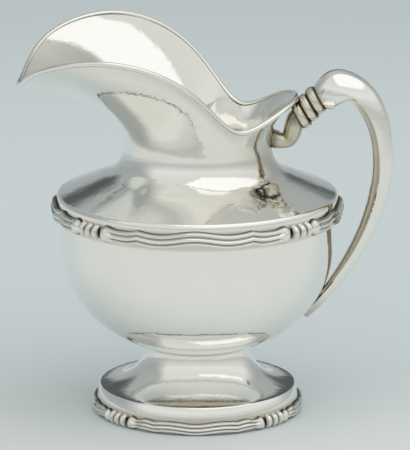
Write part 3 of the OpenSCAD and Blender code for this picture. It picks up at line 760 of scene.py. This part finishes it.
def ramp_node(nodes, links, value, stops):
    """Colour ramp over stops of value and colour, smooth between them."""
    first, last = stops[0][0], stops[-1][0]
    place = range_node(nodes, links, value, first, last, 0.0, 1.0)
    ramp = nodes.new("ShaderNodeValToRGB")
    ramp.color_ramp.interpolation = "EASE"
    links.new(place.outputs["Result"], ramp.inputs["Fac"])
    while len(ramp.color_ramp.elements) < len(stops):
        ramp.color_ramp.elements.new(0.5)
    for element, (stop, colour) in zip(ramp.color_ramp.elements, stops):
        element.position = (stop - first) / (last - first)
        element.color = colour + (1.0,)
    return ramp


def mix_node(nodes, links, factor, first, second, blend="MIX"):
    """Colour mix whose two colours are plain values or outputs of other nodes."""
    node = nodes.new("ShaderNodeMix")
    node.data_type = "RGBA"
    node.blend_type = blend
    links.new(factor, node.inputs["Factor"])
    for socket, colour in (("A", first), ("B", second)):
        if isinstance(colour, tuple):
            node.inputs[socket].default_value = colour + (1.0,)
        else:
            links.new(colour, node.inputs[socket])
    return node


def smooth_step(nodes, links, value, low, high):
    node = range_node(nodes, links, value, low, high, 0.0, 1.0)
    node.interpolation_type = "SMOOTHSTEP"
    return node.outputs["Result"]


def dot_node(nodes, links, vector, way):
    node = nodes.new("ShaderNodeVectorMath")
    node.operation = "DOT_PRODUCT"
    node.inputs[1].default_value = way
    links.new(vector, node.inputs[0])
    return node.outputs["Value"]


def math_node(nodes, links, operation, first, second):
    node = nodes.new("ShaderNodeMath")
    node.operation = operation
    links.new(first, node.inputs[0])
    if isinstance(second, float):
        node.inputs[1].default_value = second
    else:
        links.new(second, node.inputs[1])
    return node.outputs[0]


# Noise of tarnish patches, polishing marks, hammered waves and upright streaks: turns per metre, detail and
# roughness of the noise
PATCH_NOISE = (90.0, 4.0, 0.6)
MARK_NOISE = (700.0, 2.0, 0.6)
WAVE_NOISE = (130.0, 2.0, 0.5)
STREAK_NOISE = (420.0, 3.0, 0.6)
STREAK_STRETCH = (1.0, 1.0, 0.18)
STREAK_SHARE = 0.5
WAVE_HEIGHT = 0.0002
TARNISH_AND_SHADE_DULLS = 0.28
PATCH_RANGE = (0.35, 0.7)
PATCH_FADE = 0.3
MARK_RANGE = (0.3, 0.7)
MARK_SPREAD = (0.6, 1.4)


def silver_material(name, clean, tarnish_and_shade, base_tone, rough, wobble):
    """Silver with hand-raised waves, upright streaks, polishing marks, and tarnish and painted shade where
    tone is high.
    """
    mat, nodes, links, shader = new_material(name)
    coords = nodes.new("ShaderNodeTexCoord").outputs["Object"]
    tone = nodes.new("ShaderNodeAttribute")
    tone.attribute_name = "tone"
    patches = noise_node(nodes, links, coords, *PATCH_NOISE)
    spread = range_node(nodes, links, patches.outputs["Fac"], *PATCH_RANGE, base_tone * PATCH_FADE, base_tone)
    total = nodes.new("ShaderNodeMath")
    total.operation = "ADD"
    total.use_clamp = True
    links.new(tone.outputs["Fac"], total.inputs[0])
    links.new(spread.outputs["Result"], total.inputs[1])
    # High tone paints tarnish, and on the bowl and the upper body also painted shade
    tint = mix_node(nodes, links, total.outputs[0], clean, tarnish_and_shade)
    links.new(tint.outputs["Result"], shader.inputs["Base Color"])
    shader.inputs["Metallic"].default_value = 1.0
    marks = noise_node(nodes, links, coords, *MARK_NOISE)
    smooth, scuffed = rough * MARK_SPREAD[0], rough * MARK_SPREAD[1]
    fine = range_node(nodes, links, marks.outputs["Fac"], *MARK_RANGE, smooth, scuffed)
    dull = nodes.new("ShaderNodeMath")
    dull.operation = "MULTIPLY_ADD"
    dull.inputs[1].default_value = TARNISH_AND_SHADE_DULLS
    links.new(total.outputs[0], dull.inputs[0])
    links.new(fine.outputs["Result"], dull.inputs[2])
    links.new(dull.outputs[0], shader.inputs["Roughness"])
    waves = noise_node(nodes, links, coords, *WAVE_NOISE)
    stretch = nodes.new("ShaderNodeMapping")
    stretch.inputs["Scale"].default_value = STREAK_STRETCH
    links.new(coords, stretch.inputs["Vector"])
    streaks = noise_node(nodes, links, stretch.outputs["Vector"], *STREAK_NOISE)
    height = nodes.new("ShaderNodeMath")
    height.operation = "MULTIPLY_ADD"
    height.inputs[1].default_value = STREAK_SHARE
    links.new(streaks.outputs["Fac"], height.inputs[0])
    links.new(waves.outputs["Fac"], height.inputs[2])
    bump = nodes.new("ShaderNodeBump")
    bump.inputs["Strength"].default_value = wobble
    bump.inputs["Distance"].default_value = WAVE_HEIGHT
    links.new(height.outputs[0], bump.inputs["Height"])
    links.new(bump.outputs["Normal"], shader.inputs["Normal"])
    return mat


# Silver: clean colour, colour of tarnish and painted shade, tarnish all over, roughness and strength of its
# unevenness
POLISHED = silver_material("polished_silver", (0.95, 0.945, 0.91), (0.36, 0.26, 0.11), 0.04, 0.05, 0.5)
RUBBED = silver_material("rubbed_silver", (0.975, 0.97, 0.945), (0.30, 0.24, 0.15), 0.03, 0.08, 0.35)
TONED = silver_material("toned_silver", (0.965, 0.95, 0.90), (0.07, 0.06, 0.04), 0.06, 0.05, 0.5)
WORN = silver_material("worn_silver", (0.94, 0.90, 0.77), (0.09, 0.075, 0.045), 0.3, 0.06, 1.0)


# Pieces: each replaces its CAD node and rides on the one body
def dress(piece, node, material):
    piece.data.materials.append(material)
    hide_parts(node)
    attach(piece, "root")


dress(make_bowl(), "bowl", RUBBED)
dress(make_upper_body(), "upper_body", POLISHED)
dress(make_rim_wire(), "rim_wire", POLISHED)
dress(make_foot(), "foot", POLISHED)
dress(make_strap(), "handle_strap", POLISHED)
dress(make_hook(), "handle_hook", WORN)
for number in RINGS:
    dress(make_ring(number), "handle_ring_%d" % number, WORN)


def girdle_middle(share):
    return GIRDLE_Z + GIRDLE_DIP * (wave(share, GIRDLE_END_SHARE) + GIRDLE_MID_SHARE)


def foot_middle(share):
    swell = np.maximum(1, knob(share, FOOT_PINCH))
    return SEAM + FOOT_REED_HALF_H * swell - FOOT_DIP * wave(share, FOOT_END_SHARE)


for number in QUARTERS:
    girdle_end = reed_end(BAND_R, GIRDLE_RIB_PITCH, GIRDLE_TIE_TURN, number)
    foot_end = reed_end(FOOT_BAND_R, FOOT_RIB_PITCH, FOOT_TIE_TURN, number)
    girdle_reed = make_reed("girdle_reed_skin_%d" % number, number, BAND_R, girdle_end,
                            GIRDLE_HALF_H, GIRDLE_DEPTH, GIRDLE_PINCH, girdle_middle)
    girdle_tie = make_tie("girdle_tie_skin_%d" % number, tie_angle(GIRDLE_TIE_TURN, number), BAND_R,
                          GIRDLE_RIB_PITCH, GIRDLE_RIB_R, float(girdle_middle(1.0)))
    foot_reed = make_reed("foot_reed_skin_%d" % number, number, FOOT_BAND_R, foot_end,
                          FOOT_REED_HALF_H, FOOT_REED_DEPTH, FOOT_PINCH, foot_middle)
    foot_tie = make_tie("foot_tie_skin_%d" % number, tie_angle(FOOT_TIE_TURN, number), FOOT_BAND_R,
                        FOOT_RIB_PITCH, FOOT_RIB_R, FOOT_TIE_Z)
    dress(girdle_reed, "girdle_reed_%d" % number, TONED)
    dress(girdle_tie, "girdle_tie_%d" % number, TONED)
    dress(foot_reed, "foot_reed_%d" % number, TONED)
    dress(foot_tie, "foot_tie_%d" % number, TONED)

# Camera at the photograph's angle, in metres: distance, angle above level, turn round the jug, point aimed at
VIEW_DISTANCE = 1.4
VIEW_ELEVATION = math.radians(14.2)
VIEW_TURN = math.radians(1.0)
VIEW_TARGET = Vector((0.0022, 0.0, 0.0548))
MM_PER_PIXEL = 0.29
IMAGE_W = 410
SENSOR_W = 36.0
CLIP_END = 20.0


def add_camera():
    cam = bpy.data.cameras.new("camera")
    cam.sensor_fit = "HORIZONTAL"
    cam.sensor_width = SENSOR_W
    cam.lens = SENSOR_W * VIEW_DISTANCE / (IMAGE_W * MM_PER_PIXEL * MM)
    cam.clip_end = CLIP_END
    turn = Matrix.Rotation(VIEW_TURN, 4, "Z")
    target = turn @ VIEW_TARGET
    back = turn @ Vector((0.0, -math.cos(VIEW_ELEVATION), math.sin(VIEW_ELEVATION)))
    holder = bpy.data.objects.new("camera", cam)
    holder.location = target + VIEW_DISTANCE * back
    holder.rotation_euler = (-back).to_track_quat("-Z", "Y").to_euler()
    bpy.context.scene.collection.objects.link(holder)
    bpy.context.scene.camera = holder


# Floor: a pale sweep with painted light: lit warm white in front, painted shade of cool grey behind, and
# painted shade a little darker far from the jug
FLOOR_HALF = 4.0
FLOOR_LIT = (0.97, 0.99, 0.965)
FLOOR_SHADED = (0.83, 0.915, 0.935)
FLOOR_FRONT = (-0.11, 0.01)
FLOOR_FAR = (0.25, 0.75)
FLOOR_FAR_SHADE = (0.80, 0.81, 0.82)
SIDE_LIT_REACH = -0.6
FLOOR_ROUGHNESS = 0.6
FLOOR_SPECULAR = 0.1


def add_floor():
    corners = [(-FLOOR_HALF, -FLOOR_HALF, 0), (FLOOR_HALF, -FLOOR_HALF, 0),
               (FLOOR_HALF, FLOOR_HALF, 0), (-FLOOR_HALF, FLOOR_HALF, 0)]
    mesh = bpy.data.meshes.new("floor")
    mesh.from_pydata(corners, [], [(0, 1, 2, 3)])
    floor = bpy.data.objects.new("floor", mesh)
    bpy.context.scene.collection.objects.link(floor)
    mat, nodes, links, shader = new_material("pale_floor_painted_light")
    place = nodes.new("ShaderNodeTexCoord").outputs["Object"]
    split = nodes.new("ShaderNodeSeparateXYZ")
    links.new(place, split.inputs["Vector"])
    # Painted light: the floor is lit warm white in front and at the sides, and painted shade turns it cool
    # grey behind the jug
    beside = nodes.new("ShaderNodeMath")
    beside.operation = "ABSOLUTE"
    links.new(split.outputs["X"], beside.inputs[0])
    behind = nodes.new("ShaderNodeMath")
    behind.operation = "MULTIPLY_ADD"
    behind.inputs[1].default_value = SIDE_LIT_REACH
    links.new(beside.outputs[0], behind.inputs[0])
    links.new(split.outputs["Y"], behind.inputs[2])
    back_shade = smooth_step(nodes, links, behind.outputs[0], *FLOOR_FRONT)
    sheet = mix_node(nodes, links, back_shade, FLOOR_LIT, FLOOR_SHADED)
    # Painted shade: the floor darkens far from the jug
    reach = nodes.new("ShaderNodeVectorMath")
    reach.operation = "LENGTH"
    links.new(place, reach.inputs[0])
    far = smooth_step(nodes, links, reach.outputs["Value"], *FLOOR_FAR)
    shaded = mix_node(nodes, links, far, sheet.outputs["Result"], FLOOR_FAR_SHADE, "MULTIPLY")
    links.new(shaded.outputs["Result"], shader.inputs["Base Color"])
    shader.inputs["Roughness"].default_value = FLOOR_ROUGHNESS
    shader.inputs["Specular IOR Level"].default_value = FLOOR_SPECULAR
    mesh.materials.append(mat)


# Studio round the jug: a pale wall in front, a grey one behind, a white panel high in front, and a dark gap
# behind between the sweep and the wall. Wall colours go by the sine of the height above level
FRONT_WALL = ((0.0, (0.53, 0.54, 0.52)), (0.2, (0.66, 0.67, 0.65)), (0.38, (0.78, 0.79, 0.77)),
              (0.6, (0.73, 0.74, 0.71)), (1.0, (0.68, 0.69, 0.66)))
# White panel over the front wall: its lower edge climbs to the left and is level on the right
PANEL = (1.05, 1.05, 1.05)
PANEL_CLIMB = 0.9
PANEL_LEVEL_X = 0.1
PANEL_EDGE = (0.69, 0.78)
BACK_WALL = ((0.0, (0.40, 0.44, 0.45)), (0.25, (0.36, 0.39, 0.40)), (0.6, (0.40, 0.42, 0.41)),
             (0.85, (0.50, 0.51, 0.48)), (0.93, (0.58, 0.585, 0.55)))
# The wall in front ends behind the jug along a slanted edge, soft near the floor and crisp overhead
EDGE_WAY = (-0.4, 1.0, 0.0)
EDGE_BACK = 0.2
EDGE_TOP = 0.9
EDGE_SOFT = (0.55, 0.03)
# The gap sinks to the right and is darkest a little left of straight behind
GAP_RISE = (0.25, 0.0, 1.0)
GAP_RAMP = ((0.15, (0.0, 0.0, 0.0)), (0.27, (1.0, 1.0, 1.0)),
            (0.37, (1.0, 1.0, 1.0)), (0.5, (0.0, 0.0, 0.0)))
GAP_WAY = (-0.196, 0.98, 0.0)
GAP_REACH = (0.76, 0.92)
GAP_SHADE = (0.09, 0.10, 0.105)


def add_world():
    world = bpy.data.worlds.new("studio")
    bpy.context.scene.world = world
    world.use_nodes = True
    nodes, links = world.node_tree.nodes, world.node_tree.links
    background = nodes["Background"]
    way = nodes.new("ShaderNodeTexCoord").outputs["Generated"]
    split = nodes.new("ShaderNodeSeparateXYZ")
    links.new(way, split.inputs["Vector"])
    wall = ramp_node(nodes, links, split.outputs["Z"], FRONT_WALL)
    left = math_node(nodes, links, "MINIMUM", split.outputs["X"], PANEL_LEVEL_X)
    climb = math_node(nodes, links, "MULTIPLY", left, PANEL_CLIMB)
    up = math_node(nodes, links, "ADD", split.outputs["Z"], climb)
    front = mix_node(nodes, links, smooth_step(nodes, links, up, *PANEL_EDGE), wall.outputs["Color"], PANEL)
    back = ramp_node(nodes, links, split.outputs["Z"], BACK_WALL)
    past = math_node(nodes, links, "SUBTRACT", dot_node(nodes, links, way, EDGE_WAY), EDGE_BACK)
    soft = range_node(nodes, links, split.outputs["Z"], 0.0, EDGE_TOP, *EDGE_SOFT)
    edge = math_node(nodes, links, "DIVIDE", past, soft.outputs["Result"])
    behind = smooth_step(nodes, links, edge, -1.0, 1.0)
    walls = mix_node(nodes, links, behind, front.outputs["Result"], back.outputs["Color"])
    gap_height = ramp_node(nodes, links, dot_node(nodes, links, way, GAP_RISE), GAP_RAMP)
    gap_side = smooth_step(nodes, links, dot_node(nodes, links, way, GAP_WAY), *GAP_REACH)
    gap = math_node(nodes, links, "MULTIPLY", gap_height.outputs["Color"], gap_side)
    room = mix_node(nodes, links, gap, walls.outputs["Result"], GAP_SHADE)
    links.new(room.outputs["Result"], background.inputs["Color"])
    background.inputs["Strength"].default_value = 1.0


add_camera()
add_floor()
add_world()
bpy.context.scene.view_settings.view_transform = "Standard"
